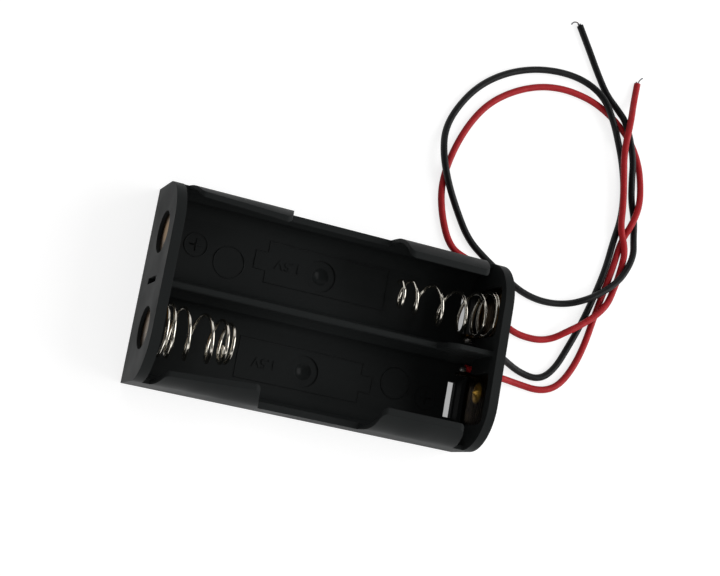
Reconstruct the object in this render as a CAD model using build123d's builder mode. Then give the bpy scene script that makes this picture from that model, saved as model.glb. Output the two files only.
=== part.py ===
"""Holder for two AA cells side by side: a moulded open tray, pressed contacts, coil springs and two leads.

Millimetres, +Z up. The origin is on the base, midway along the tray and midway between its two bays.
+X points to the end that the leads come out of, and the far bay is the one at +Y.
"""

import os
from math import cos, pi, radians, sin, sqrt, tan

from build123d import *

os.makedirs("parts", exist_ok=True)

# The cell that each bay takes
cell_diameter = 14.5
cell_length = 50.5

# Moulded tray
end_wall = 1.6
contact_skin = 0.6
end_wall_height = 15.0
end_corner_radius = 7.6
floor_thickness = 1.1
bay_clearance = 0.05
bay_radius = cell_diameter / 2 + bay_clearance
lip_thickness = 0.7
rib_web = 1.1
rib_rise = 0.65
rib_top_radius = 0.35
trough_half_width = 6.6
trough_fillet = 2.4

# Each bay's floor: a shallow dish with a deeper dimple in its middle
dish_diameter = 5.2
dish_depth = 0.25
dimple_diameter = 2.9
dimple_depth = 0.5

# Contacts and springs along the cell
plate_thickness = 0.3
dome_height = 0.9
compressed_spring = 4.8

axis_height = floor_thickness + cell_diameter / 2
bay_offset = bay_radius + rib_web / 2
outer_radius = bay_radius + lip_thickness
body_width = 2 * (bay_offset + outer_radius)
plate_face = (cell_length + dome_height + compressed_spring) / 2
plate_back = plate_face + plate_thickness
outer_x = plate_back + contact_skin
inner_x = outer_x - end_wall
rib_top = axis_height + rib_rise

# Curled side walls, seen from the side: stations and heights along their top line
low_wall_height = 8.0
notch_height = 6.0
lip_slant = 1.1
left_lip_setback = 2.3
left_lip_start = -inner_x + left_lip_setback
left_lip_start_height = 12.8
left_lip_end = -10.4
left_lip_end_height = 13.7
notch_start = -8.0
notch_end = 9.3
right_lip_start = 10.0
right_lip_setback = 3.1
right_lip_end = inner_x - right_lip_setback
right_lip_height = 14.2
lip_corner_radius = 1.0
lip_reach = 11.0

# Openings and marks of the moulding
window_diameter = 6.8
window_offset = bay_offset - 0.25
window_height = axis_height + 0.2
key_slot_width = 1.0
key_slot_height = 5.1
key_slot_centre = axis_height - 0.6
floor_slot_length = 1.4
floor_slot_width = 6.1
floor_slot_setback = 0.2
floor_slot_centre = bay_offset - 0.55
dish_offset = bay_offset + 0.15
core_groove_width = 1.1
core_groove_depth = 3.6
core_groove_setback = 5.4

# Fin that stands on the rib at the leads' end, between the two contacts
fin_length = 8.2
fin_slant = 0.8
fin_thickness = 0.8
fin_top = 13.6
fin_corner_radius = 2.0
fin_root = 0.5

# Pressed contacts, each in a pocket of its end wall
plate_corner = 1.2
plate_height = 9.6
plate_drop = 4.95
plate_bottom = axis_height - plate_drop
pocket_gap = 0.1
single_plate_margin = 6.2
leg_margin = 5.0
strap_gap = 0.3
dome_diameter = 3.8
dome_shift = 1.7
tab_length = 2.8
tab_height = 1.8
tab_gap = 0.45

# Coil springs at rest
wire_diameter = 0.6
spring_closed_pitch = 0.72
coil_corners = 8
spring_closed_turns = 1
left_spring_length = 13.4
left_spring_base = 9.0
left_spring_tip = 6.5
left_spring_turns = 3
left_spring_offset = bay_offset - 0.65
right_spring_length = 17.6
right_spring_base = 7.8
right_spring_tip = 4.6
right_spring_turns = 6
right_spring_offset = bay_offset - 0.45

# Leads
lead_diameter = 1.2
lead_hole_clearance = 0.25
lead_hole_drop = 3.05
lead_rib_gap = 0.15
lead_inset = 0.8
solder_radius = 0.75
solder_shift = 0.4
strand_diameter = 0.28
strand_straight = 0.9
strand_curl = 0.9
strand_turn = 70

# The plates are that much narrower than the bay, so that each is wider than its spring
single_plate_width = 2 * bay_radius - single_plate_margin
leg_width = 2 * bay_radius - leg_margin

# Each lead runs beside the rib's flank, and each leg of the bridge contact clears it
lead_hole_height = axis_height - lead_hole_drop
lead_reach = bay_radius - lead_diameter / 2 - lead_rib_gap
lead_hole_offset = bay_offset - sqrt(lead_reach**2 - lead_hole_drop**2)
leg_edge = bay_offset - sqrt(bay_radius**2 - plate_drop**2) + pocket_gap
strap_bottom = key_slot_centre + key_slot_height / 2 + strap_gap

# Each lead's contact stands beside its lead and folds a solder tab inwards along it
tab_edge = lead_hole_offset + lead_diameter / 2 + tab_gap
single_plate_centre = tab_edge + single_plate_width / 2
tab_centre_x = plate_back - (tab_length + plate_thickness) / 2
solder_x = inner_x - lead_inset

# Radii of the dome and the dimple, from their widths and heights
dome_radius = (dome_diameter**2 / 4 + dome_height**2) / (2 * dome_height)
dimple_radius = (dimple_diameter**2 / 4 + dimple_depth**2) / (2 * dimple_depth)


def section_at(x):
    """Plane across the tray: its own X is the tray's Y, its own Y is the tray's Z."""
    return Plane(origin=(x, 0, 0), x_dir=(0, 1, 0), z_dir=(1, 0, 0))


def plate_outline(centre_y, width, gap=0):
    """Upright plate with rounded corners on the current section, grown by a gap all round."""
    with Locations((centre_y, plate_bottom - gap)):
        RectangleRounded(width + 2 * gap, plate_height + 2 * gap, plate_corner, align=(Align.CENTER, Align.MIN))


def bridge_outline(gap=0):
    """Two legs joined by a strap above the end wall's slot, grown by a gap all round."""
    plate_outline(0, 2 * (leg_edge + leg_width), gap)
    with Locations((0, plate_bottom - gap)):
        Rectangle(
            2 * (leg_edge - gap),
            strap_bottom - plate_bottom,
            align=(Align.CENTER, Align.MIN),
            mode=Mode.SUBTRACT,
        )


# Tray: one section from end to end, then the side walls' top line, the end walls and every opening
with BuildPart() as holder_body:
    with BuildSketch(section_at(-inner_x)) as tray_section:
        Rectangle(body_width, axis_height, align=(Align.CENTER, Align.MIN))
        with Locations((-bay_offset, axis_height), (bay_offset, axis_height)):
            Circle(outer_radius)
        with Locations((0, rib_top)):
            Rectangle(2 * lip_reach, outer_radius, align=(Align.CENTER, Align.MIN), mode=Mode.SUBTRACT)
        with Locations((-bay_offset, axis_height), (bay_offset, axis_height)):
            Circle(bay_radius, mode=Mode.SUBTRACT)
        with Locations((-bay_offset, floor_thickness), (bay_offset, floor_thickness)):
            Rectangle(
                2 * trough_half_width,
                bay_radius / 2,
                align=(Align.CENTER, Align.MIN),
                mode=Mode.SUBTRACT,
            )
        floor_corners = tray_section.vertices().filter_by(lambda v: abs(v.Y - floor_thickness) < 0.001)
        fillet(floor_corners, trough_fillet)
        rib_corners = tray_section.vertices().filter_by(
            lambda v: abs(v.X) < rib_web and abs(v.Y - rib_top) < 0.001
        )
        fillet(rib_corners, rib_top_radius)
    extrude(amount=2 * inner_x)

    for side in (1, -1):
        with BuildSketch(Plane.XZ.offset(side * bay_offset)) as top_line:
            with BuildLine():
                Polyline(
                    (-inner_x, low_wall_height),
                    (left_lip_start - lip_slant, low_wall_height),
                    (left_lip_start, left_lip_start_height),
                    (left_lip_end, left_lip_end_height),
                    (notch_start, notch_height),
                    (notch_end, notch_height),
                    (right_lip_start, right_lip_height),
                    (right_lip_end, right_lip_height),
                    (right_lip_end + lip_slant, low_wall_height),
                    (inner_x, low_wall_height),
                    (inner_x, 2 * end_wall_height),
                    (-inner_x, 2 * end_wall_height),
                    close=True,
                )
            make_face()
            lip_corners = top_line.vertices().filter_by(
                lambda v: low_wall_height < v.Y < end_wall_height and abs(v.X) < inner_x
            )
            fillet(lip_corners, lip_corner_radius)
        extrude(amount=side * body_width, mode=Mode.SUBTRACT)

    # End walls
    for x in (-outer_x, inner_x):
        with BuildSketch(section_at(x)) as end_profile:
            Rectangle(body_width, end_wall_height, align=(Align.CENTER, Align.MIN))
            fillet(end_profile.vertices().group_by(Axis.Y)[-1], end_corner_radius)
        extrude(amount=end_wall)

    # Fin from the rib up to the end wall, with a rounded upper corner
    with BuildSketch(Plane.XZ) as fin_side:
        with BuildLine():
            Polyline(
                (inner_x - fin_length, rib_top - fin_root),
                (inner_x - fin_length + fin_slant, fin_top),
                (inner_x, fin_top),
                (inner_x, rib_top - fin_root),
                close=True,
            )
        make_face()
        fillet(fin_side.vertices().group_by(Axis.Y)[-1].sort_by(Axis.X)[0], fin_corner_radius)
    extrude(amount=fin_thickness / 2, both=True)

    # Pockets for the contacts in the inner faces of the end walls
    with BuildSketch(section_at(-inner_x)):
        bridge_outline(pocket_gap)
    extrude(amount=contact_skin - end_wall, mode=Mode.SUBTRACT)
    with BuildSketch(section_at(inner_x)):
        plate_outline(-single_plate_centre, single_plate_width, pocket_gap)
        plate_outline(single_plate_centre, single_plate_width, pocket_gap)
    extrude(amount=end_wall - contact_skin, mode=Mode.SUBTRACT)

    # Round windows in both end walls, and the slot between those of the plain end
    with BuildSketch(section_at(-outer_x)):
        with Locations((-window_offset, window_height), (window_offset, window_height)):
            Circle(window_diameter / 2)
        with Locations((0, key_slot_centre)):
            Rectangle(key_slot_width, key_slot_height)
    extrude(amount=end_wall, mode=Mode.SUBTRACT)
    with BuildSketch(section_at(inner_x)):
        with Locations((-window_offset, window_height), (window_offset, window_height)):
            Circle(window_diameter / 2)
        with Locations((-lead_hole_offset, lead_hole_height), (lead_hole_offset, lead_hole_height)):
            Circle(lead_diameter / 2 + lead_hole_clearance)
    extrude(amount=end_wall, mode=Mode.SUBTRACT)

    # Slots through the floor below each contact, and the cored groove under the rib
    slot_x = inner_x - floor_slot_setback - floor_slot_length / 2
    with BuildSketch(Plane.XY):
        with Locations(*[(x, y) for x in (-slot_x, slot_x) for y in (-floor_slot_centre, floor_slot_centre)]):
            Rectangle(floor_slot_length, floor_slot_width)
    extrude(amount=floor_thickness, mode=Mode.SUBTRACT)
    with BuildSketch(Plane.XY):
        SlotOverall(2 * (inner_x - core_groove_setback), core_groove_width)
    extrude(amount=core_groove_depth, mode=Mode.SUBTRACT)

    # Dish and dimple in the middle of each floor
    with BuildSketch(Plane.XY.offset(floor_thickness)):
        with Locations((0, -dish_offset), (0, dish_offset)):
            Circle(dish_diameter / 2)
    extrude(amount=-dish_depth, mode=Mode.SUBTRACT)
    dimple_centre = floor_thickness - dish_depth - dimple_depth + dimple_radius
    with Locations((0, -dish_offset, dimple_centre), (0, dish_offset, dimple_centre)):
        Sphere(dimple_radius, mode=Mode.SUBTRACT)
holder_body.part.label = "holder_body"
export_step(holder_body.part, "parts/holder_body.step")

# Bridge contact: one plate across both bays of the plain end, with the far bay's dome pressed out of it
with BuildPart() as bridge_contact:
    with BuildSketch(section_at(-plate_back)):
        bridge_outline()
    extrude(amount=plate_thickness)
    with BuildSketch(Plane.XY.offset(axis_height)):
        with BuildLine():
            dome_foot = (-plate_face, bay_offset + dome_diameter / 2)
            dome_crest = (-plate_face + dome_height, bay_offset)
            RadiusArc(dome_crest, dome_foot, dome_radius)
            Polyline(dome_foot, (-plate_face, bay_offset), dome_crest)
        make_face()
    revolve(axis=Axis((0, bay_offset, axis_height), (1, 0, 0)))
bridge_contact.part.label = "bridge_contact"
export_step(bridge_contact.part, "parts/bridge_contact.step")

# Positive contact: the near bay's dome, on the red lead
with BuildPart() as positive_contact:
    with BuildSketch(section_at(plate_face)):
        plate_outline(-single_plate_centre, single_plate_width)
    extrude(amount=plate_thickness)
    with Locations((tab_centre_x, -tab_edge - plate_thickness / 2, lead_hole_height)):
        Box(tab_length + plate_thickness, plate_thickness, tab_height)
    positive_dome_offset = bay_offset - dome_shift
    with BuildSketch(Plane.XY.offset(axis_height)):
        with BuildLine():
            dome_foot = (plate_face, -positive_dome_offset - dome_diameter / 2)
            dome_crest = (plate_face - dome_height, -positive_dome_offset)
            RadiusArc(dome_crest, dome_foot, dome_radius)
            Polyline(dome_foot, (plate_face, -positive_dome_offset), dome_crest)
        make_face()
    revolve(axis=Axis((0, -positive_dome_offset, axis_height), (1, 0, 0)))
positive_contact.part.label = "positive_contact"
export_step(positive_contact.part, "parts/positive_contact.step")

# Negative contact: the plate that the far bay's spring sits on, on the black lead
with BuildPart() as negative_contact:
    with BuildSketch(section_at(plate_face)):
        plate_outline(single_plate_centre, single_plate_width)
    extrude(amount=plate_thickness)
    with Locations((tab_centre_x, tab_edge + plate_thickness / 2, lead_hole_height)):
        Box(tab_length + plate_thickness, plate_thickness, tab_height)
negative_contact.part.label = "negative_contact"
export_step(negative_contact.part, "parts/negative_contact.step")


def bend_radii(points):
    """Largest tangent arc that each corner of a route allows: 0.45 of its shorter run."""
    radii = []
    for before, corner, after in zip(points, points[1:], points[2:]):
        run_in = Vector(corner) - Vector(before)
        run_out = Vector(after) - Vector(corner)
        half_turn = radians(run_in.get_angle(run_out)) / 2
        radii.append(0.45 * min(run_in.length, run_out.length) / tan(half_turn))
    return radii


def coil_points(foot_x, towards, offset, length, base, tip, turns):
    """Corners round a tapering spring: a closed turn, open turns that narrow to the tip, a closed turn.

    Each turn is a polygon whose runs touch the coil, so the arcs that round it off lie on the coil.
    """
    open_pitch = (length - wire_diameter - 2 * spring_closed_turns * spring_closed_pitch) / turns
    base_radius = (base - wire_diameter) / 2
    tip_radius = (tip - wire_diameter) / 2
    corners = []
    last_step = coil_corners * (turns + 2 * spring_closed_turns)
    for step in range(last_step + 1):
        turn = step / coil_corners
        open_turns = min(max(turn - spring_closed_turns, 0), turns)
        along = wire_diameter / 2 + spring_closed_pitch * (turn - open_turns) + open_pitch * open_turns
        radius = base_radius + (tip_radius - base_radius) * open_turns / turns
        reach = radius if step in (0, last_step) else radius / cos(pi / coil_corners)
        angle = 2 * pi * turn
        corners.append(
            (foot_x + towards * along, offset - towards * reach * sin(angle), axis_height + reach * cos(angle))
        )
    return corners


# Near bay's spring, on the bridge contact
left_corners = coil_points(
    -plate_face, 1, -left_spring_offset, left_spring_length, left_spring_base, left_spring_tip, left_spring_turns
)
with BuildPart() as left_spring:
    with BuildLine() as left_coil:
        FilletPolyline(*left_corners, radius=bend_radii(left_corners))
    left_wire = left_coil.wire()
    with BuildSketch(Plane(origin=left_wire @ 0, z_dir=left_wire % 0)):
        Circle(wire_diameter / 2)
    sweep(path=left_wire)
left_spring.part.label = "left_spring"
export_step(left_spring.part, "parts/left_spring.step")

# Far bay's spring, on the negative contact
right_corners = coil_points(
    plate_face, -1, right_spring_offset, right_spring_length, right_spring_base, right_spring_tip, right_spring_turns
)
with BuildPart() as right_spring:
    with BuildLine() as right_coil:
        FilletPolyline(*right_corners, radius=bend_radii(right_corners))
    right_wire = right_coil.wire()
    with BuildSketch(Plane(origin=right_wire @ 0, z_dir=right_wire % 0)):
        Circle(wire_diameter / 2)
    sweep(path=right_wire)
right_spring.part.label = "right_spring"
export_step(right_spring.part, "parts/right_spring.step")

# Solder: a bead between each lead's bared end and its tab, flat where it meets both
with BuildPart() as positive_solder:
    with Locations((solder_x - solder_radius / 2, -lead_hole_offset - solder_shift, lead_hole_height)):
        Sphere(solder_radius)
    split(bisect_by=Plane(origin=(solder_x, 0, 0), z_dir=(1, 0, 0)), keep=Keep.BOTTOM)
    split(bisect_by=Plane(origin=(0, -tab_edge, 0), z_dir=(0, 1, 0)), keep=Keep.TOP)
positive_solder.part.label = "positive_solder"
export_step(positive_solder.part, "parts/positive_solder.step")

with BuildPart() as negative_solder:
    with Locations((solder_x - solder_radius / 2, lead_hole_offset + solder_shift, lead_hole_height)):
        Sphere(solder_radius)
    split(bisect_by=Plane(origin=(solder_x, 0, 0), z_dir=(1, 0, 0)), keep=Keep.BOTTOM)
    split(bisect_by=Plane(origin=(0, tab_edge, 0), z_dir=(0, 1, 0)), keep=Keep.BOTTOM)
negative_solder.part.label = "negative_solder"
export_step(negative_solder.part, "parts/negative_solder.step")

# Leads: they leave the end wall, drop to the table and lie in a loose double loop, crossing over each other.
# Heights of the centre line: on the table, over one crossing, over two.
on_table = 0.62
over_one = 1.94
over_two = 3.26

black_points = (
    (solder_x, lead_hole_offset, lead_hole_height),
    (31.0, lead_hole_offset, lead_hole_height),
    (35.0, 1.4, 1.9),
    (38.9, 0.0, on_table),
    (42.8, -0.5, on_table),
    (45.5, 1.8, on_table),
    (47.6, 6.4, on_table),
    (49.6, 11.3, on_table),
    (51.25, 16.5, on_table),
    (52.7, 22.0, on_table),
    (53.35, 26.9, on_table),
    (54.3, 31.7, on_table),
    (54.0, 36.9, on_table),
    (52.8, 41.7, on_table),
    (51.3, 45.5, on_table),
    (49.1, 48.3, over_one),
    (46.6, 52.1, over_one),
    (43.0, 54.6, on_table),
    (37.8, 54.9, on_table),
    (32.1, 53.8, on_table),
    (26.7, 51.3, on_table),
    (22.2, 47.6, on_table),
    (19.1, 42.9, on_table),
    (17.6, 38.6, on_table),
    (17.5, 34.0, over_one),
    (19.2, 29.4, over_one),
    (22.0, 25.6, on_table),
    (25.6, 22.4, on_table),
    (30.2, 21.6, on_table),
    (34.2, 19.4, on_table),
    (37.2, 15.6, on_table),
    (41.2, 13.1, on_table),
    (45.9, 13.7, on_table),
    (49.2, 15.2, over_one),
    (52.6, 17.6, over_one),
    (55.55, 20.5, over_one),
    (57.45, 24.1, over_one),
    (57.8, 28.2, on_table),
    (57.0, 31.8, on_table),
    (55.8, 35.2, on_table),
    (55.3, 39.0, on_table),
    (54.5, 42.8, over_one),
    (52.6, 48.0, over_one),
    (50.8, 51.3, on_table),
    (48.1, 53.0, on_table),
    (45.2, 56.8, on_table),
    (42.6, 60.8, on_table),
    (40.1, 64.4, on_table),
)
red_points = (
    (solder_x, -lead_hole_offset, lead_hole_height),
    (31.0, -lead_hole_offset, lead_hole_height),
    (35.0, -1.8, 1.9),
    (38.9, -2.0, on_table),
    (43.3, -2.4, on_table),
    (46.6, -1.0, on_table),
    (49.0, 2.6, on_table),
    (50.7, 7.3, on_table),
    (51.8, 12.8, on_table),
    (52.9, 17.4, on_table),
    (54.1, 22.4, on_table),
    (54.9, 27.4, on_table),
    (56.0, 30.8, over_one),
    (56.9, 34.4, over_one),
    (57.2, 38.6, on_table),
    (56.2, 42.2, on_table),
    (54.1, 45.7, on_table),
    (50.9, 48.5, on_table),
    (46.8, 50.7, on_table),
    (42.9, 51.7, on_table),
    (38.3, 51.9, on_table),
    (33.6, 50.9, on_table),
    (28.8, 48.5, on_table),
    (24.6, 45.0, on_table),
    (21.6, 40.2, on_table),
    (19.5, 34.4, on_table),
    (18.6, 28.6, on_table),
    (20.0, 23.2, on_table),
    (23.1, 20.1, on_table),
    (26.9, 19.4, on_table),
    (30.8, 19.4, on_table),
    (33.6, 16.2, on_table),
    (34.4, 11.8, on_table),
    (37.0, 7.6, on_table),
    (41.0, 6.2, on_table),
    (44.2, 7.1, on_table),
    (46.3, 8.8, over_one),
    (48.9, 10.6, over_one),
    (51.4, 12.8, over_one),
    (53.3, 15.2, over_one),
    (54.9, 18.4, on_table),
    (55.9, 22.0, on_table),
    (55.4, 25.6, over_one),
    (53.7, 29.3, over_one),
    (53.6, 33.6, over_one),
    (52.9, 38.6, over_one),
    (51.4, 43.0, over_two),
    (51.9, 48.8, over_two),
    (53.3, 53.4, on_table),
    (53.5, 57.0, on_table),
)


# Black lead, from the negative contact
with BuildPart() as black_lead:
    with BuildLine() as black_route:
        FilletPolyline(*black_points, radius=bend_radii(black_points))
    black_line = black_route.wire()
    with BuildSketch(Plane(origin=black_line @ 0, z_dir=black_line % 0)):
        Circle(lead_diameter / 2)
    sweep(path=black_line)
black_lead.part.label = "black_lead"
export_step(black_lead.part, "parts/black_lead.step")

# Red lead, from the positive contact
with BuildPart() as red_lead:
    with BuildLine() as red_route:
        FilletPolyline(*red_points, radius=bend_radii(red_points))
    red_line = red_route.wire()
    with BuildSketch(Plane(origin=red_line @ 0, z_dir=red_line % 0)):
        Circle(lead_diameter / 2)
    sweep(path=red_line)
red_lead.part.label = "red_lead"
export_step(red_lead.part, "parts/red_lead.step")

# One bared strand curls out of each cut end
with BuildPart() as black_lead_strand:
    black_end = black_line @ 1
    black_way = black_line % 1
    with BuildLine() as black_strand_line:
        black_strand_bend = black_end + black_way * strand_straight
        FilletPolyline(
            black_end,
            black_strand_bend,
            black_strand_bend + black_way.rotate(Axis.Z, strand_turn) * strand_curl,
            radius=strand_diameter,
        )
    with BuildSketch(Plane(origin=black_end, z_dir=black_way)):
        Circle(strand_diameter / 2)
    sweep(path=black_strand_line.wire())
black_lead_strand.part.label = "black_lead_strand"
export_step(black_lead_strand.part, "parts/black_lead_strand.step")

with BuildPart() as red_lead_strand:
    red_end = red_line @ 1
    red_way = red_line % 1
    with BuildLine() as red_strand_line:
        red_strand_bend = red_end + red_way * strand_straight
        FilletPolyline(
            red_end,
            red_strand_bend,
            red_strand_bend + red_way.rotate(Axis.Z, -strand_turn) * strand_curl,
            radius=strand_diameter,
        )
    with BuildSketch(Plane(origin=red_end, z_dir=red_way)):
        Circle(strand_diameter / 2)
    sweep(path=red_strand_line.wire())
red_lead_strand.part.label = "red_lead_strand"
export_step(red_lead_strand.part, "parts/red_lead_strand.step")

for lead, line, points in ((black_lead, black_line, black_points), (red_lead, red_line, red_points)):
    section = pi * lead_diameter**2 / 4
    print(lead.part.label, "length", round(line.length, 1), "radii", [round(r, 1) for r in bend_radii(points)])
    print(lead.part.label, "volume", round(lead.part.volume, 2), "section x length", round(section * line.length, 2))
for piece in (left_spring, right_spring):
    print(piece.part.label, round(piece.part.volume, 2), piece.part.bounding_box())
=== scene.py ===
# %% [markdown]
# # A moulded holder for two cells
#
# The object is an open black tray for two cells side by side, with a coil spring and a pressed dome at the
# ends of each bay, and two thin leads that lie in one loose loop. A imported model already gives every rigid
# piece its true shape and place. This script dresses that model: it makes the pieces whose look needs more
# than a plain solid, gives every surface its finish, and sets the camera and the light. Lengths are in
# millimetres until `MM` turns them into Blender's metres.

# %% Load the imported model
import math

import bpy
import numpy as np
from mathutils import Matrix, Vector


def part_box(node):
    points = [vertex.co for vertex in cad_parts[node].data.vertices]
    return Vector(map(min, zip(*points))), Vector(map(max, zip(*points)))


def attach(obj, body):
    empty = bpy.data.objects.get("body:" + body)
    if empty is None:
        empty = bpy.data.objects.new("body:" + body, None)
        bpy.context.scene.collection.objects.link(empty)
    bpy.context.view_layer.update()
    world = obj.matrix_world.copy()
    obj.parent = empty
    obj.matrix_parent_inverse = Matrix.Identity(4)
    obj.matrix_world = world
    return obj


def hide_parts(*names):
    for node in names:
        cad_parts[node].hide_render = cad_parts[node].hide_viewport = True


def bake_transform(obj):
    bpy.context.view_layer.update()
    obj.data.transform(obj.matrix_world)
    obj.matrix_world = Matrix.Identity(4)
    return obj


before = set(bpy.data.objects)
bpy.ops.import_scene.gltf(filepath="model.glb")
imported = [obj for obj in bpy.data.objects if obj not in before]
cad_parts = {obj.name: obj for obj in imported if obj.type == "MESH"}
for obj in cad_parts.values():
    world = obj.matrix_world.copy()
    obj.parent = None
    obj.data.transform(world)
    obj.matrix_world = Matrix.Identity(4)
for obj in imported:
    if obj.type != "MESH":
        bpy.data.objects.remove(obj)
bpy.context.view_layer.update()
MM = 0.001

# %% [markdown]
# ## Sizes that several cells use
#
# A piece made here has to sit on the piece that carries it. So ends and faces are read from the model's
# own boxes where a box shows them, and the rest are the model's driving sizes: the cell's radius, the
# floor and the rib.


# %% Sizes from the model
def box_mm(node_name):
    """The low and the high corner of one of the model's nodes, in millimetres."""
    return [np.array(corner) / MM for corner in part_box(node_name)]


floor_top = 1.1
cell_radius = 7.25
bay_clearance = 0.05
rib_width = 1.1
axis_height = floor_top + cell_radius
bay_offset = cell_radius + bay_clearance + rib_width / 2

tray_half_length, tray_half_width = box_mm("holder_body")[1][:2]
print("tray", 2 * tray_half_length, "by", 2 * tray_half_width, "mm")
print("each bay", bay_offset, "mm off the middle, its axis", axis_height, "mm up")


# %% [markdown]
# ## Colours and nodes
#
# A colour picked from a screen is an sRGB value, but a shader calculates with linear light, so one
# function turns hex colours into linear numbers. A material's nodes could be wired by hand in the shader
# editor. Here one function adds a node, sets it and links it, because a script can then say a whole finish
# in a few lines.


# %% Colour and node helpers
def linear(hex_colour):
    """Linear RGBA of an sRGB hex colour: ((c + 0.055) / 1.055) ** 2.4 above 0.04045, c / 12.92 below."""
    channels = [int(hex_colour[i : i + 2], 16) / 255 for i in (1, 3, 5)]
    return [c / 12.92 if c <= 0.04045 else ((c + 0.055) / 1.055) ** 2.4 for c in channels] + [1.0]


def feed(tree, node, inputs):
    """Gives each of a node's inputs its value, or links it to the socket or the node that feeds it."""
    for key, value in inputs.items():
        if isinstance(value, bpy.types.Node):
            value = next(output for output in value.outputs if output.enabled)
        if isinstance(value, bpy.types.NodeSocket):
            tree.links.new(value, node.inputs[key])
        else:
            node.inputs[key].default_value = value


def add_node(tree, kind, inputs=None, **settings):
    """Adds one node with its settings, and feeds its inputs, which are named or numbered."""
    node = tree.nodes.new(kind)
    for key, value in settings.items():
        setattr(node, key, value)
    feed(tree, node, inputs or {})
    return node


def new_material(name, colour, roughness, metallic=0.0):
    """A Principled material with its plain values set, returned with its node tree and its shader."""
    material = bpy.data.materials.new(name)
    material.use_nodes = True
    shader = material.node_tree.nodes["Principled BSDF"]
    shader.inputs["Base Color"].default_value = linear(colour)
    shader.inputs["Roughness"].default_value = roughness
    shader.inputs["Metallic"].default_value = metallic
    print("material", name)
    return material, material.node_tree, shader


# %% [markdown]
# ## Patches
#
# No real surface is even: gloss, colour and height wander a little. Blender's noise gives such wandering,
# and a noise of scale 1 has features about one metre across, so its scale is one over the real size.
# Object coordinates keep the pattern fixed to the piece. An image texture would do it too, but it would
# need a picture and a way to wrap it. The noise's values crowd round a half, so `SOFT` edges spread their
# middle over the whole range, and `RAW` edges leave them as they are, which suits a bump.

# %% Patches of a real size
RAW = (0.0, 1.0)
SOFT = (0.3, 0.7)


def patches(tree, size_mm, low=0.0, high=1.0, edges=SOFT, detail=3.0):
    """Patches about size_mm across: low up to the noise's first edge, high past its second."""
    place = add_node(tree, "ShaderNodeTexCoord").outputs["Object"]
    noise = add_node(
        tree,
        "ShaderNodeTexNoise",
        {"Vector": place, "Scale": 1 / (size_mm * MM), "Detail": detail, "Roughness": 0.6},
    )
    return add_node(
        tree,
        "ShaderNodeMapRange",
        {"Value": noise, "From Min": edges[0], "From Max": edges[1], "To Min": low, "To Max": high},
    )


# %% [markdown]
# ## Shapes from arrays
#
# A new piece is a surface worked out as whole arrays of points and handed to a mesh at once. One function
# makes the mesh. Another makes round wire, which the springs and the bared strands share. A bevelled curve
# would give wire too, but an array lets the turns of a spring be bent and crowded at will.


# %% Mesh helpers
def add_mesh(name, points_mm, faces, material):
    """A smooth mesh object at the origin, from points in millimetres and a list of faces."""
    mesh = bpy.data.meshes.new(name)
    mesh.from_pydata((np.asarray(points_mm) * MM).tolist(), [], faces)
    mesh.update()
    mesh.polygons.foreach_set("use_smooth", np.ones(len(mesh.polygons), bool))
    mesh.materials.append(material)
    piece = bpy.data.objects.new(name, mesh)
    bpy.context.scene.collection.objects.link(piece)
    print(name, len(mesh.polygons), "faces")
    return piece


def wire(path, radius, aside, sides):
    """Round wire along a path, closed by a pole at each end.

    The tangent t is the path's own slope, u is t x aside made one long, and v is t x u, where aside is a
    direction that the path never runs along. Each ring's points are p + r (cos a u + sin a v).
    """
    t = np.gradient(path, axis=0)
    t /= np.linalg.norm(t, axis=1, keepdims=True)
    u = np.cross(t, aside)
    u /= np.linalg.norm(u, axis=1, keepdims=True)
    v = np.cross(t, u)
    angle = np.linspace(0, 2 * np.pi, sides, endpoint=False)[None, :, None]
    rings = path[:, None] + radius * (np.cos(angle) * u[:, None] + np.sin(angle) * v[:, None])
    points = np.vstack([rings.reshape(-1, 3), path[:1], path[-1:]])

    here = np.arange(sides)
    there = (here + 1) % sides
    ring = np.arange(len(path) - 1)[:, None] * sides
    quads = np.stack([ring + here, ring + there, ring + sides + there, ring + sides + here], axis=-1)
    first_pole, last_pole = len(points) - 2, len(points) - 1
    last_ring = (len(path) - 1) * sides
    first_cap = np.c_[np.full(sides, first_pole), there, here]
    last_cap = np.c_[np.full(sides, last_pole), last_ring + here, last_ring + there]
    return points, quads.reshape(-1, 4).tolist() + first_cap.tolist() + last_cap.tolist()


# %% [markdown]
# ## The tray's plastic
#
# The tray is moulded black polypropylene. Its steel mould has a fine eroded grain, which scatters the
# mirror part of the light, so the eye sees a deep satin black with soft grey lights along the lips. The
# plastic also leaves faint flow marks, up to a centimetre long, that change its gloss. The dimple in each
# floor is the print of a turned, polished pin and is glossier. The grain could be modelled, but a bump is
# far cheaper and looks the same from here. Real grain of 0.03 mm would be too fine to show, so it is drawn
# four times as coarse. The mould's edges are never quite sharp, and a Bevel node rounds how they shade
# without a change to the model's mesh.

# %% Black moulded polypropylene
dish_shift = 0.15
dimple_offset = bay_offset + dish_shift
pin_edge = (1.45, 1.6)
pin_roughness = 0.2
satin_roughness = (0.48, 0.62)
flow_mark_mm = 9.0
grain_mm, grain_depth_mm = 0.12, 0.006
mould_edge_mm = 0.12


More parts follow.
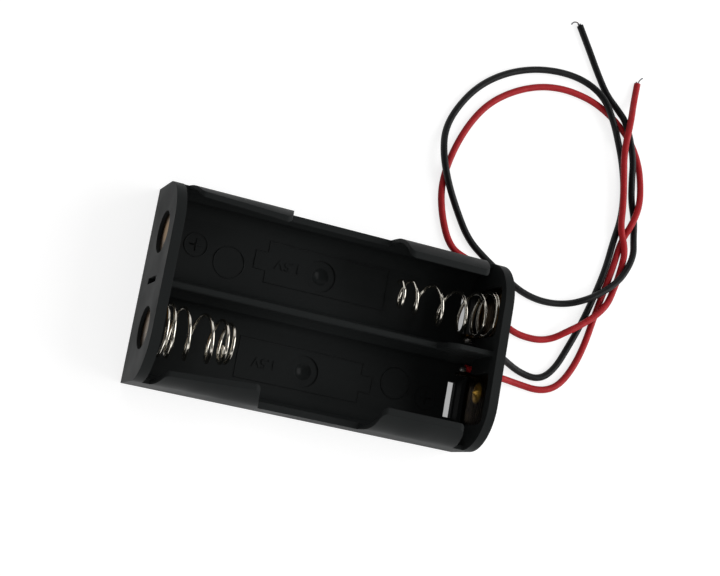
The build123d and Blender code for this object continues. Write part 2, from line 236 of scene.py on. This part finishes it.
def moulded_plastic():
    """Satin black, and glossy within a ball of radius pin_edge round the middle of each bay's dimple."""
    material, tree, shader = new_material("moulded_black_polypropylene", "#212323", 0.52)
    shader.inputs["Specular IOR Level"].default_value = 0.06
    place = add_node(tree, "ShaderNodeTexCoord").outputs["Object"]
    dimples = ((0.0, side * dimple_offset * MM, floor_top * MM) for side in (-1, 1))
    near, far = (
        add_node(tree, "ShaderNodeVectorMath", {0: place, 1: dimple}, operation="DISTANCE")
        for dimple in dimples
    )
    nearest = add_node(tree, "ShaderNodeMath", {0: near, 1: far}, operation="MINIMUM")
    pin_start, pin_end = (edge * MM for edge in pin_edge)
    polished = add_node(
        tree,
        "ShaderNodeMapRange",
        {"Value": nearest, "From Min": pin_start, "From Max": pin_end, "To Min": 1.0, "To Max": 0.0},
    )
    satin = patches(tree, flow_mark_mm, *satin_roughness, detail=2.0)
    gloss = add_node(tree, "ShaderNodeMix", {0: polished, 2: satin, 3: pin_roughness})
    soft_edge = add_node(tree, "ShaderNodeBevel", {"Radius": mould_edge_mm * MM}, samples=6)
    grain = patches(tree, grain_mm, edges=RAW, detail=2.0)
    bump = add_node(
        tree,
        "ShaderNodeBump",
        {"Height": grain, "Distance": grain_depth_mm * MM, "Strength": 0.6, "Normal": soft_edge},
    )
    feed(tree, shader, {"Roughness": gloss, "Normal": bump})
    return material


black_plastic = moulded_plastic()

# %% [markdown]
# ## The contacts' brass
#
# The contacts are stamped from rolled brass sheet that has browned with age. The bridge's and the positive
# contact's browns are painted darker than tarnish alone: painted shade, of the bridge that sits in shade
# behind the end wall's windows and of the positive sheet in the dark bay. The flat sheet is still smooth, so
# it mirrors the dark bay and looks nearly black, and only its brown patches show. Rolling leaves fine lines.
# A noise that is stretched along one side of the sheet gives them, drawn 0.1 to 0.25 mm apart, which is
# coarser than they are, so that they show. A dome is stretched by the press and rubbed by cells, so it is
# yellower and more matt, and it catches the light. The bridge's worn dome is painted darker as well, as
# painted shade. The wear is a second finish laid over the first one near a dome's middle, since painting it
# by hand would need a picture.

# %% Rolled and tarnished brass, with painted shade
tarnish_mm = 2.2
roll_lines_per_mm = (4.0, 0.3, 9.0)
roll_depth_mm = 0.002
sheet_roughness = (0.24, 0.34)
dome_reach = 1.9
dome_roughness = 0.4


def rolled_brass(name, pale, dark):
    """Smooth brass sheet in two browns, with fine rolling lines."""
    material, tree, shader = new_material(name, "#c79a4b", 0.3, 1.0)
    tint = add_node(
        tree,
        "ShaderNodeMix",
        {0: patches(tree, tarnish_mm), 6: linear(pale), 7: linear(dark)},
        data_type="RGBA",
    )
    place = add_node(tree, "ShaderNodeTexCoord").outputs["Object"]
    lines_per_metre = [count / MM for count in roll_lines_per_mm]
    stretched = add_node(tree, "ShaderNodeMapping", {"Vector": place, "Scale": lines_per_metre})
    lines = add_node(tree, "ShaderNodeTexNoise", {"Vector": stretched, "Scale": 1.0, "Detail": 1.0})
    low, high = sheet_roughness
    smooth = add_node(
        tree,
        "ShaderNodeMapRange",
        {"Value": lines, "From Min": SOFT[0], "From Max": SOFT[1], "To Min": low, "To Max": high},
    )
    roll_depth = roll_depth_mm * MM
    bump = add_node(tree, "ShaderNodeBump", {"Height": lines, "Distance": roll_depth, "Strength": 0.5})
    feed(tree, shader, {"Base Color": tint, "Roughness": smooth, "Normal": bump})
    return material


def wear_dome(material, dome_mm, colour):
    """Lays a worn finish over the sheet's own near dome_mm: full to 3/4 of dome_reach, and none past it."""
    tree = material.node_tree
    shader = tree.nodes["Principled BSDF"]
    place = add_node(tree, "ShaderNodeTexCoord").outputs["Object"]
    middle = [side * MM for side in dome_mm]
    distance = add_node(tree, "ShaderNodeVectorMath", {0: place, 1: middle}, operation="DISTANCE")
    fade_start, fade_end = 0.75 * dome_reach * MM, dome_reach * MM
    on_dome = add_node(
        tree,
        "ShaderNodeMapRange",
        {"Value": distance, "From Min": fade_start, "From Max": fade_end, "To Min": 1.0, "To Max": 0.0},
    )
    sheet_colour, sheet_gloss = (
        shader.inputs[key].links[0].from_socket for key in ("Base Color", "Roughness")
    )
    tint = add_node(
        tree,
        "ShaderNodeMix",
        {0: on_dome, 6: sheet_colour, 7: linear(colour)},
        data_type="RGBA",
    )
    gloss = add_node(tree, "ShaderNodeMix", {0: on_dome, 2: sheet_gloss, 3: dome_roughness})
    feed(tree, shader, {"Base Color": tint, "Roughness": gloss})


plate_thickness = 0.3
near_dome_offset = 6.15
plate_face = -box_mm("bridge_contact")[0][0] - plate_thickness

# The bridge's and the positive sheet's browns are painted darker than their tarnish, as painted shade.
bridge_brass_painted_shade = rolled_brass("bridge_brass_sheet", "#725428", "#2f2210")
positive_brass_painted_shade = rolled_brass("positive_brass_sheet", "#5a4422", "#2c1f0e")
negative_brass = rolled_brass("negative_brass_sheet", "#6e5329", "#35260f")
# The bridge dome's worn colour is painted darker too, as painted shade; the positive dome keeps its own worn
# yellow.
wear_dome(bridge_brass_painted_shade, (-plate_face, bay_offset, axis_height), "#7a5b2c")
wear_dome(positive_brass_painted_shade, (plate_face, -near_dome_offset, axis_height), "#f4c25c")

# %% [markdown]
# ## Nickel and solder
#
# The springs are drawn steel wire with bright nickel plating. Nickel is a little warmer than chrome, and
# the drawing leaves faint marks on the wire, so its lights break up into short pieces. The marks are finer
# than the picture can show, so they are drawn 0.25 mm across. Solder is bright where it flowed and dull
# where flux stayed on it. Both are metals whose roughness wanders, with a bump of a few thousandths of a
# millimetre for the wire and of a few hundredths for the solder. One even roughness would be simpler, but
# thin wire would then look like plastic, because its lights would be ruled lines.

# %% Plated spring wire
draw_mark_mm, draw_depth_mm = 0.25, 0.004
wire_roughness = (0.1, 0.24)


def plated_wire():
    """Bright nickel plating, a little uneven from the drawing of the wire under it."""
    material, tree, shader = new_material("bright_nickel_plating", "#d8d3c8", 0.16, 1.0)
    marks = patches(tree, draw_mark_mm, edges=RAW)
    depth = draw_depth_mm * MM
    bump = add_node(tree, "ShaderNodeBump", {"Height": marks, "Distance": depth, "Strength": 0.4})
    gloss = patches(tree, draw_mark_mm, *wire_roughness)
    feed(tree, shader, {"Roughness": gloss, "Normal": bump})
    return material


nickel = plated_wire()

# %% Solder
flux_spot_mm, flux_depth_mm = 0.4, 0.02
solder_roughness = (0.22, 0.5)


def solder_metal():
    """Tin solder: bright where it flowed, dulled by flux in spots."""
    material, tree, shader = new_material("bright_solder", "#a3a19d", 0.25, 1.0)
    spots = patches(tree, flux_spot_mm, edges=RAW)
    depth = flux_depth_mm * MM
    bump = add_node(tree, "ShaderNodeBump", {"Height": spots, "Distance": depth, "Strength": 0.4})
    gloss = patches(tree, flux_spot_mm, *solder_roughness)
    feed(tree, shader, {"Roughness": gloss, "Normal": bump})
    return material


solder = solder_metal()

# %% [markdown]
# ## Vinyl and tinned copper
#
# The leads have skins of soft vinyl, pressed out through a round die. It is satin, and its colour and
# thickness wander a little along the lead, so a long line of light on it isn't ruled. One noise drives its
# colour, its gloss and its bump, so that they wander together. The bared strands are tinned copper: grey,
# with copper showing only where the tin has rubbed away, so their patches have high, narrow edges.

# %% Vinyl skins
skin_wave_mm, skin_depth_mm = 1.4, 0.01
vinyl_roughness = (0.4, 0.52)


def extruded_vinyl(name, colour, dark_colour):
    """Satin vinyl in one colour and a slightly darker one, with low waves in its skin."""
    material, tree, shader = new_material(name, colour, 0.45)
    shader.inputs["Specular IOR Level"].default_value = 0.2
    tint = add_node(
        tree,
        "ShaderNodeMix",
        {0: patches(tree, skin_wave_mm), 6: linear(colour), 7: linear(dark_colour)},
        data_type="RGBA",
    )
    waves = patches(tree, skin_wave_mm, edges=RAW)
    depth = skin_depth_mm * MM
    bump = add_node(tree, "ShaderNodeBump", {"Height": waves, "Distance": depth, "Strength": 0.4})
    gloss = patches(tree, skin_wave_mm, *vinyl_roughness)
    feed(tree, shader, {"Base Color": tint, "Roughness": gloss, "Normal": bump})
    return material


red_vinyl = extruded_vinyl("red_vinyl", "#b01f25", "#a1191f")
black_vinyl = extruded_vinyl("black_vinyl", "#131415", "#0d0e0f")

# %% Bared strands
rubbed_mm = 0.5
rubbed_edges = (0.5, 0.75)


def tinned_strand():
    """Fine tinned copper, with bare copper only where the noise is past rubbed_edges."""
    material, tree, shader = new_material("tinned_copper_strand", "#8b8c8e", 0.4, 1.0)
    rubbed = patches(tree, rubbed_mm, edges=rubbed_edges)
    tint = add_node(
        tree,
        "ShaderNodeMix",
        {0: rubbed, 6: linear("#76777a"), 7: linear("#8d7468")},
        data_type="RGBA",
    )
    feed(tree, shader, {"Base Color": tint})
    return material


tinned_copper = tinned_strand()

# %% [markdown]
# ## Dressing the model's own pieces
#
# The tray, the contacts and the solder beads come from the model with their shapes right, walls, domes and
# rounded edges included. Modelling them again would only risk a gap, so they just get their finishes.

# %% Finishes of the tray, contacts and solder
for node_name, finish in (
    ("holder_body", black_plastic),
    ("bridge_contact", bridge_brass_painted_shade),
    ("positive_contact", positive_brass_painted_shade),
    ("negative_contact", negative_brass),
    ("positive_solder", solder),
    ("negative_solder", solder),
):
    node_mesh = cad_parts[node_name].data
    node_mesh.materials.clear()
    node_mesh.materials.append(finish)
    print(node_name, "is", finish.name)

# %% [markdown]
# ## Raised marks on the floor
#
# Each bay's floor shows which way round its cell goes: the outline of a cell, then a plain ring and a plus
# in a ring at its positive end, and the voltage. These marks are cut into the mould, so on the tray they
# stand up as low banks with rounded tops. A bump could draw them, but it would lose them in a low view. So
# every bank is one small profile carried along a flat path, and its edges go a little below the floor, so
# that no gap can show under them.

# %% Banks along a path
mark_width = 0.24
mark_height = 0.1
mark_sink = 0.03
bank_offsets = mark_width * np.array([-0.5, -0.33, -0.12, 0.12, 0.33, 0.5])
bank_heights = mark_height * np.array([0.0, 0.7, 1.0, 1.0, 0.7, 0.0])
bank_heights[[0, -1]] = -mark_sink


def bank(path, closed):
    """A low bank along a flat path: each section point is p + offset * side, at its height above the floor.

    The side is square to the mean of the two directions at a corner, and it is 1 / cos(half the turn) long,
    so that the bank keeps its width round the corner.
    """
    path = np.asarray(path, float)
    ahead = np.roll(path, -1, axis=0) - path
    behind = path - np.roll(path, 1, axis=0)
    if not closed:
        ahead[-1], behind[0] = behind[-1], ahead[0]
    ahead /= np.linalg.norm(ahead, axis=1, keepdims=True)
    behind /= np.linalg.norm(behind, axis=1, keepdims=True)
    along = ahead + behind
    along /= np.linalg.norm(along, axis=1, keepdims=True)
    stretch = 1 / (along * ahead).sum(1)
    side = np.c_[-along[:, 1], along[:, 0]] * stretch[:, None]
    flat = path[:, None] + side[:, None] * bank_offsets[None, :, None]
    sections = np.dstack([flat, np.broadcast_to(floor_top + bank_heights, flat.shape[:2])])

    count, width = sections.shape[:2]
    start = np.arange(count if closed else count - 1)[:, None] * width
    after = (start + width) % (count * width)
    step = np.arange(width)[None]
    turn = (step + 1) % width
    quads = np.stack([start + step, after + step, after + turn, start + turn], axis=-1)
    faces = quads.reshape(-1, 4).tolist()
    if not closed:
        faces += [list(range(width)), list(range((count - 1) * width, count * width))[::-1]]
    return sections.reshape(-1, 3), faces


# %% Paths of the marks
def ring_path(centre, radius, count=64):
    """Points round a circle: centre + radius (cos a, sin a)."""
    angle = np.linspace(0, 2 * np.pi, count, endpoint=False)
    return np.c_[centre[0] + radius * np.cos(angle), centre[1] + radius * np.sin(angle)]


def cell_path(blunt_end, shoulder, tip, middle, half_width, half_nub):
    """The outline of a cell seen from above, from its blunt end along X to the tip of its nub."""
    return [
        (blunt_end, middle - half_width),
        (shoulder, middle - half_width),
        (shoulder, middle - half_nub),
        (tip, middle - half_nub),
        (tip, middle + half_nub),
        (shoulder, middle + half_nub),
        (shoulder, middle + half_width),
        (blunt_end, middle + half_width),
    ]


def plus_paths(centre, arm):
    """The two strokes of a plus, each reaching one arm's length from the centre."""
    x, y = centre
    return [((x - arm, y), (x + arm, y)), ((x, y - arm), (x, y + arm))]


far_plus, near_plus = (-21.7, 8.25), (22.1, -7.9)
far_ring, near_ring = (-15.8, 6.7), (16.3, -6.6)
closed_paths = [
    cell_path(blunt_end=11.8, shoulder=-9.5, tip=-11.6, middle=8.35, half_width=3.4, half_nub=1.45),
    cell_path(blunt_end=-11.5, shoulder=10.1, tip=12.2, middle=-7.85, half_width=3.3, half_nub=1.45),
    ring_path(far_plus, radius=1.92),
    ring_path(near_plus, radius=1.9),
    ring_path(far_ring, radius=2.6),
    ring_path(near_ring, radius=2.6),
]
open_paths = plus_paths(far_plus, arm=1.05) + plus_paths(near_plus, arm=1.05)

# %% One piece for all the banks
bank_points, bank_faces = [], []
for path, closed in [(path, True) for path in closed_paths] + [(path, False) for path in open_paths]:
    new_points, new_faces = bank(path, closed)
    first = sum(map(len, bank_points))
    bank_faces += [[first + corner for corner in face] for face in new_faces]
    bank_points.append(new_points)
marks = add_mesh("floor_marks", np.vstack(bank_points), bank_faces, black_plastic)
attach(marks, "tray")

# %% [markdown]
# ## The voltage
#
# The voltage stands inside each cell's outline and reads from the far side of the tray. Text is the
# quickest way to raised characters: a font curve has depth and a rounded edge of its own. It is made a
# mesh before it is moved, so that the piece's object can stay at the origin like every other.

# %% Raised characters
cap_height_share = 0.73
letter_edge = 0.02


def floor_text(name, words, place, height_mm, width_share):
    """Characters of that height, widened, turned half round and laid on the floor at their place."""
    font_curve = bpy.data.curves.new(name, "FONT")
    font_curve.body = words
    font_curve.size = height_mm / cap_height_share
    font_curve.extrude = mark_height / 2
    font_curve.bevel_depth = letter_edge
    font_curve.align_x = "CENTER"
    font_curve.align_y = "CENTER"
    draft = bpy.data.objects.new(name + "_draft", font_curve)
    mesh = bpy.data.meshes.new_from_object(draft)
    bpy.data.objects.remove(draft)
    spot = Matrix.Translation((place[0], place[1], floor_top + mark_height / 2 - mark_sink))
    widen = Matrix.Diagonal((width_share, 1.0, 1.0, 1.0))
    mesh.transform(Matrix.Scale(MM, 4) @ spot @ Matrix.Rotation(math.pi, 4, "Z") @ widen)
    mesh.materials.append(black_plastic)
    piece = bpy.data.objects.new(name, mesh)
    bpy.context.scene.collection.objects.link(piece)
    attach(piece, "tray")
    print(name, len(mesh.polygons), "faces")


floor_text("far_voltage", "1.5V", place=(-5.75, 8.35), height_mm=1.6, width_share=1.2)
floor_text("near_voltage", "1.5V", place=(-6.75, -8.1), height_mm=1.65, width_share=1.05)

# %% [markdown]
# ## The leads
#
# Two thin leads leave the tray through one end wall. Each is a fixed length of stranded wire in vinyl: it
# comes straight out of its hole, drops to the table, makes one loose loop and ends in a square cut. Thin
# wire is springy, so it bends in long arcs and never in corners. A simulated rope would find such a shape
# by itself, but not the one that these leads have. So each is one smooth NURBS curve whose control points
# are places along the real lead. A curve of order 3 only comes near its points, which takes the wobble out
# of them. Three heights say whether a stretch lies on the table, over one lead or over two.

# %% Heights and routes of the leads
lead_diameter = 1.2
lead_hole = (26.6, 2.05, 5.3)
on_table = 0.62
over_one = 1.94
over_two = 3.26

black_route = (
    (lead_hole[0], lead_hole[1], lead_hole[2]),
    (31.0, 2.3, 4.7),
    (35.0, 1.4, 1.9),
    (38.9, 0.0, on_table),
    (42.8, -0.5, on_table),
    (45.5, 1.8, on_table),
    (47.6, 6.4, on_table),
    (49.6, 11.3, on_table),
    (51.25, 16.5, on_table),
    (52.7, 22.0, on_table),
    (53.35, 26.9, on_table),
    (54.3, 31.7, on_table),
    (54.0, 36.9, on_table),
    (52.8, 41.7, on_table),
    (51.3, 45.5, on_table),
    (49.1, 48.3, over_one),
    (46.6, 52.1, over_one),
    (43.0, 54.6, on_table),
    (37.8, 54.9, on_table),
    (32.1, 53.8, on_table),
    (26.7, 51.3, on_table),
    (22.2, 47.6, on_table),
    (19.1, 42.9, on_table),
    (17.6, 38.6, on_table),
    (17.5, 34.0, over_one),
    (19.2, 29.4, over_one),
    (22.0, 25.6, on_table),
    (25.2, 20.7, on_table),
    (29.0, 18.1, on_table),
    (32.9, 16.0, on_table),
    (36.8, 13.9, on_table),
    (41.2, 13.1, on_table),
    (45.9, 13.7, on_table),
    (49.2, 15.2, over_one),
    (52.6, 17.6, over_one),
    (55.5, 20.6, over_one),
    (57.2, 24.9, over_one),
    (57.4, 28.4, on_table),
    (57.0, 31.8, on_table),
    (55.8, 35.2, on_table),
    (55.3, 39.0, on_table),
    (54.2, 42.8, over_one),
    (51.9, 48.6, over_one),
    (50.2, 51.2, on_table),
    (47.6, 53.2, on_table),
    (44.9, 57.0, on_table),
    (42.5, 60.8, on_table),
    (40.1, 64.4, on_table),
)
red_route = (
    (lead_hole[0], -lead_hole[1], lead_hole[2]),
    (31.0, -2.3, 4.7),
    (35.0, -1.8, 1.9),
    (38.9, -2.0, on_table),
    (43.3, -2.4, on_table),
    (46.6, -1.0, on_table),
    (49.0, 2.6, on_table),
    (50.7, 7.3, on_table),
    (51.8, 12.8, on_table),
    (52.9, 17.4, on_table),
    (54.1, 22.4, on_table),
    (54.9, 27.4, on_table),
    (56.0, 30.8, over_one),
    (56.9, 34.4, over_one),
    (57.2, 38.6, on_table),
    (56.2, 42.2, on_table),
    (54.1, 45.7, on_table),
    (50.9, 48.5, on_table),
    (46.8, 50.7, on_table),
    (42.9, 51.7, on_table),
    (38.3, 51.9, on_table),
    (33.6, 50.9, on_table),
    (28.8, 48.5, on_table),
    (24.6, 45.0, on_table),
    (21.6, 40.2, on_table),
    (19.5, 34.4, on_table),
    (18.6, 28.6, on_table),
    (19.8, 23.2, on_table),
    (22.2, 18.4, on_table),
    (26.0, 17.1, on_table),
    (30.1, 16.2, on_table),
    (31.0, 13.0, on_table),
    (32.4, 9.3, on_table),
    (36.2, 6.6, on_table),
    (41.0, 6.2, on_table),
    (44.2, 7.1, on_table),
    (46.3, 8.8, over_one),
    (48.9, 10.6, over_one),
    (51.4, 12.8, over_one),
    (53.3, 15.2, over_one),
    (54.9, 18.4, on_table),
    (55.7, 22.0, on_table),
    (55.4, 25.6, over_one),
    (53.7, 29.3, over_one),
    (53.6, 33.6, over_one),
    (52.9, 38.6, over_one),
    (51.4, 43.0, over_two),
    (51.9, 48.8, over_two),
    (53.3, 53.4, on_table),
    (53.5, 57.0, on_table),
)


# %% [markdown]
# ## From a route to a lead
#
# A lead has one thickness all along, so the curve's own bevel can give it its round skin and the flat cap
# of its square cut, with no mesh to work out. The same curve without a bevel gives the centre line, whose
# last points place the bared strands.

# %% Curves and centre lines
def lead_curve(name, route, material):
    """A round, capped NURBS curve of order 3 whose control points are the route."""
    curve = bpy.data.curves.new(name, "CURVE")
    curve.dimensions = "3D"
    spline = curve.splines.new("NURBS")
    spline.points.add(len(route) - 1)
    spline.points.foreach_set("co", np.c_[np.array(route) * MM, np.ones(len(route))].ravel())
    spline.order_u = 3
    spline.use_endpoint_u = True
    spline.resolution_u = 8
    curve.bevel_depth = lead_diameter / 2 * MM
    curve.bevel_resolution = 5
    curve.use_fill_caps = True
    curve.materials.append(material)
    piece = bpy.data.objects.new(name, curve)
    bpy.context.scene.collection.objects.link(piece)
    return piece


def centre_line(name, route):
    """The points of the route's own curve, read from a copy with no bevel, in millimetres."""
    plain = lead_curve(name, route, red_vinyl)
    plain.data.bevel_depth = 0
    line = bpy.data.meshes.new_from_object(plain)
    points = np.empty(len(line.vertices) * 3)
    line.vertices.foreach_get("co", points)
    bpy.data.objects.remove(plain)
    bpy.data.meshes.remove(line)
    return points.reshape(-1, 3) / MM


black_line = centre_line("black_line", black_route)
red_line = centre_line("red_line", red_route)
black_piece = lead_curve("black_lead_insulation", black_route, black_vinyl)
red_piece = lead_curve("red_lead_insulation", red_route, red_vinyl)

# %% [markdown]
# ## The bared strands
#
# A few strands stick out of each square cut. The longest curls away to one side, and two short stubs stand
# beside it. Particles could make a whole brush of strands, but three pieces of thin wire are what shows.
# A real strand is only about 0.13 mm thick, so these are drawn twice as thick.

# %% Strands
strand_radius = 0.13
strand_sunk = 0.1
long_strand = 1.75
stubs = ((0.14, 0.45, 0.2, 0.2), (-0.14, 0.35, -0.2, -0.3))


def strand_piece(name, line, lean, curl):
    """Three strands from the cut end: root + length s (cos b ahead + sin b side), where b = lean + curl s^2.

    A stub has its place beside the middle, its length, its lean and its curl. Angles are in radians.
    """
    end = line[-1]
    ahead = end - line[-3]
    ahead /= np.linalg.norm(ahead)
    side = np.array([-ahead[1], ahead[0], 0.0])
    s = np.linspace(0, 1, 14)[:, None]
    points, faces = [], []
    for beside, length, first_lean, own_curl in ((0.0, long_strand, lean, curl), *stubs):
        bend = first_lean + own_curl * s**2
        root = end + side * beside - ahead * strand_sunk
        path = root + length * s * (np.cos(bend) * ahead + np.sin(bend) * side)
        new_points, new_faces = wire(path, strand_radius, aside=(0.0, 0.0, 1.0), sides=8)
        first = sum(map(len, points))
        faces += [[first + corner for corner in face] for face in new_faces]
        points.append(new_points)
    return add_mesh(name, np.vstack(points), faces, tinned_copper)


black_strand = strand_piece("black_lead_copper", black_line, lean=0.2, curl=0.9)
red_strand = strand_piece("red_lead_copper", red_line, lean=-0.3, curl=-0.2)
for piece, node_name in ((black_strand, "black_lead_strand"), (red_strand, "red_lead_strand")):
    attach(piece, "tray")
    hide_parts(node_name)

for piece, line, node_name, strand in (
    (black_piece, black_line, "black_lead", black_strand),
    (red_piece, red_line, "red_lead", red_strand),
):
    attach(piece, "tray")
    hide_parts(node_name)

# %% [markdown]
# ## The springs
#
# Each spring is one coiled wire that tapers from its foot on the contact to its tip, with closed turns at
# both ends. Cells have gone in and out, so the open turns are unevenly spaced and the far one is bent. A
# Screw modifier would coil a wire, but evenly. So each spring is given by its turns instead: where along
# the bay the top of each turn is, how wide that turn is, and where its middle is. The wire runs round from
# one top to the next.

# %% Bent coils
wire_diameter = 0.6
points_per_turn = 48
blend_points = 25


def spring_piece(name, tops_x, radii, centres_y, hand, turns):
    """Wire round a crooked axis: y = centre + hand r sin(2 pi t) and z = axis + r cos(2 pi t).

    Each whole t is the top of a turn. The place x, the radius r and the centre run straight from top to top,
    and a bell-shaped mean over blend_points then rounds them off.
    """
    t = np.linspace(0, turns, int(turns * points_per_turn) + 1)
    whole = np.arange(len(tops_x))
    bell = np.hanning(blend_points)
    bell /= bell.sum()
    x, r, centre = (
        np.convolve(np.pad(np.interp(t, whole, values), blend_points // 2, "edge"), bell, "valid")
        for values in (tops_x, radii, centres_y)
    )
    path = np.c_[x, centre + hand * r * np.sin(2 * np.pi * t), axis_height + r * np.cos(2 * np.pi * t)]
    points, faces = wire(path, wire_diameter / 2, aside=(1.0, 0.0, 0.0), sides=14)
    return add_mesh(name, points, faces, nickel)


left_spring = spring_piece(
    "left_spring_wire",
    tops_x=(-27.8, -26.2, -25.2, -22.7, -18.8, -16.3, -15.3, -15.0),
    radii=(4.2, 4.15, 4.1, 3.9, 3.6, 3.3, 3.05, 2.95),
    centres_y=(-7.2, -7.2, -7.2, -7.2, -7.25, -7.2, -7.2, -7.2),
    hand=-1,
    turns=6.5,
)
right_spring = spring_piece(
    "right_spring_wire",
    tops_x=(27.9, 27.6, 25.7, 22.3, 18.0, 13.5, 11.4, 10.9),
    radii=(3.6, 3.8, 3.6, 3.3, 3.0, 2.5, 2.1, 1.9),
    centres_y=(7.4, 7.0, 6.7, 6.3, 6.6, 7.1, 7.1, 7.0),
    hand=1,
    turns=6.3,
)
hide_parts("left_spring")
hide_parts("right_spring")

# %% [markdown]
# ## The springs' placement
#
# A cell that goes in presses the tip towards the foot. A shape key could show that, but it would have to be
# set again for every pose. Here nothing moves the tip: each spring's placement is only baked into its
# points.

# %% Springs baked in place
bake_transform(left_spring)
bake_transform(right_spring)

# %% [markdown]
# ## Camera
#
# The view is steep, from above the plain end, with a fairly long lens, so that the tray's far end hardly
# shrinks. A camera can be set by eye in the viewport. This one was worked out from the places of the
# tray's corners in the picture, which gives its three turns, its place and its focal length in pixels. A
# focal length in pixels becomes one in millimetres by the ratio of the sensor's width to the picture's.

# %% Camera
focal_px, picture_px, sensor_mm = 1513.6, 720, 36.0
x_turn, y_turn, z_turn = -0.109, -0.371, 0.187
camera_place = Vector((-77.2, -36.2, 235.2)) * MM
nearest_seen = 0.01
turn = (
    Matrix.Rotation(x_turn, 3, "X")
    @ Matrix.Rotation(y_turn, 3, "Y")
    @ Matrix.Rotation(z_turn, 3, "Z")
    @ Matrix.Diagonal((1.0, -1.0, -1.0))
)
right, down, ahead = turn
camera_data = bpy.data.cameras.new("camera")
camera_data.sensor_width = sensor_mm
camera_data.lens = focal_px * sensor_mm / picture_px
camera_data.clip_start = nearest_seen
camera = bpy.data.objects.new("camera", camera_data)
axes = Matrix((right, -down, -ahead)).transposed()
camera.matrix_world = Matrix.Translation(camera_place) @ axes.to_4x4()
bpy.context.scene.collection.objects.link(camera)
bpy.context.scene.camera = camera
print("lens", round(camera_data.lens, 1), "mm")

# %% [markdown]
# ## Paper
#
# The tray lies on white paper that shows hardly any shadow. Paper lit hard enough to look so white would
# throw too much light back up, and black plastic would turn grey. So the paper has two tones. Rays that
# show it, straight, mirrored or through something, find it glowing white with a faint shadow. Rays that
# only carry its light find it grey. Under the tray, where a slot lets one look through, it glows less, as
# it would in the tray's shade.


# %% White paper
def seen_ray(tree):
    """1 for rays that show the surround, straight, mirrored or through a piece, and 0 for its light."""
    rays = add_node(tree, "ShaderNodeLightPath").outputs
    straight, mirrored, through = (rays[f"Is {kind} Ray"] for kind in ("Camera", "Glossy", "Transmission"))
    direct = add_node(tree, "ShaderNodeMath", {0: straight, 1: mirrored}, operation="MAXIMUM")
    return add_node(tree, "ShaderNodeMath", {0: direct, 1: through}, operation="MAXIMUM")


unseen_paper, seen_paper = "#626262", "#a5a5a5"
open_glow, shaded_glow = 0.78, 0.38


def paper_material():
    """Matt paper, with a glow that only seen_ray rays find, and less of it within the tray's outline."""
    material, tree, shader = new_material("white_paper", "#ffffff", 0.9)
    shader.inputs["Specular IOR Level"].default_value = 0.0
    shader.inputs["Emission Color"].default_value = (1.0, 1.0, 1.0, 1.0)
    seen = seen_ray(tree)
    tone = add_node(
        tree,
        "ShaderNodeMix",
        {0: seen, 6: linear(unseen_paper), 7: linear(seen_paper)},
        data_type="RGBA",
    )
    place = add_node(tree, "ShaderNodeTexCoord").outputs["Object"]
    sides = add_node(tree, "ShaderNodeSeparateXYZ", {"Vector": place}).outputs
    inside = []
    for axis, half_size in (("X", tray_half_length), ("Y", tray_half_width)):
        away = add_node(tree, "ShaderNodeMath", {0: sides[axis]}, operation="ABSOLUTE")
        inside.append(add_node(tree, "ShaderNodeMath", {0: away, 1: half_size * MM}, operation="LESS_THAN"))
    under_tray = add_node(tree, "ShaderNodeMath", {0: inside[0], 1: inside[1]}, operation="MULTIPLY")
    glow = add_node(tree, "ShaderNodeMix", {0: under_tray, 2: open_glow, 3: shaded_glow})
    seen_glow = add_node(tree, "ShaderNodeMath", {0: seen, 1: glow}, operation="MULTIPLY")
    feed(tree, shader, {"Base Color": tone, "Emission Strength": seen_glow})
    return material


paper_half = 900.0
paper_corners = [(x * paper_half, y * paper_half, 0.0) for x, y in ((-1, -1), (1, -1), (1, 1), (-1, 1))]
floor = add_mesh("paper_floor", paper_corners, [(0, 1, 2, 3)], paper_material())

# %% [markdown]
# ## Lamps
#
# A large soft lamp high on the right draws the long grey lights on the lips and one edge of every raised
# mark. Two weaker ones, in front and behind, keep the near side and the leads from going flat. A sun lamp
# would be simpler, but it is so small that it would leave thin, sharp lights on round plastic.


# %% Soft boxes
def soft_box(name, place_mm, size_mm, watts, look_mm=(0, 0, 5)):
    """A rectangular area lamp at a place, turned to look at the middle of the tray."""
    lamp = bpy.data.lights.new(name, "AREA")
    lamp.shape = "RECTANGLE"
    lamp.size, lamp.size_y = (side * MM for side in size_mm)
    lamp.energy = watts
    holder = bpy.data.objects.new(name, lamp)
    aim = (Vector(look_mm) - Vector(place_mm)).to_track_quat("-Z", "Y")
    holder.matrix_world = Matrix.Translation(Vector(place_mm) * MM) @ aim.to_matrix().to_4x4()
    bpy.context.scene.collection.objects.link(holder)
    print(name, watts, "W")
    return holder


key = soft_box("key_light", place_mm=(560, 60, 420), size_mm=(620, 620), watts=3.5)
front = soft_box("front_light", place_mm=(40, -450, 200), size_mm=(700, 300), watts=0.7)
back = soft_box("back_light", place_mm=(-60, 450, 330), size_mm=(700, 300), watts=0.5)

# %% [markdown]
# ## Surround
#
# Bright metal and round plastic show whatever stands round them. In a photographer's small tent they show
# white cloth near the table and a dim opening overhead, where the camera is. Walls could be built, but the
# world can say the same by direction alone. What mirrors find is white near the horizon and dark above, and
# what only lights the scene is an even grey.

# %% World
tent_top, tent_edge = 0.5, 0.15
overhead, at_horizon = 0.08, 1.0
even_light = 0.32

world = bpy.data.worlds.new("white_world")
bpy.context.scene.world = world
world.use_nodes = True
world_tree = world.node_tree
direction = add_node(world_tree, "ShaderNodeTexCoord").outputs["Generated"]
steepness = add_node(world_tree, "ShaderNodeSeparateXYZ", {"Vector": direction}).outputs["Z"]
tent = add_node(
    world_tree,
    "ShaderNodeMapRange",
    {
        "Value": steepness,
        "From Min": tent_edge,
        "From Max": tent_top,
        "To Min": at_horizon,
        "To Max": overhead,
    },
)
strength = add_node(world_tree, "ShaderNodeMix", {0: seen_ray(world_tree), 2: even_light, 3: tent})
feed(world_tree, world_tree.nodes["Background"], {"Color": (1.0, 1.0, 1.0, 1.0), "Strength": strength})
bpy.context.scene.view_settings.view_transform = "Standard"
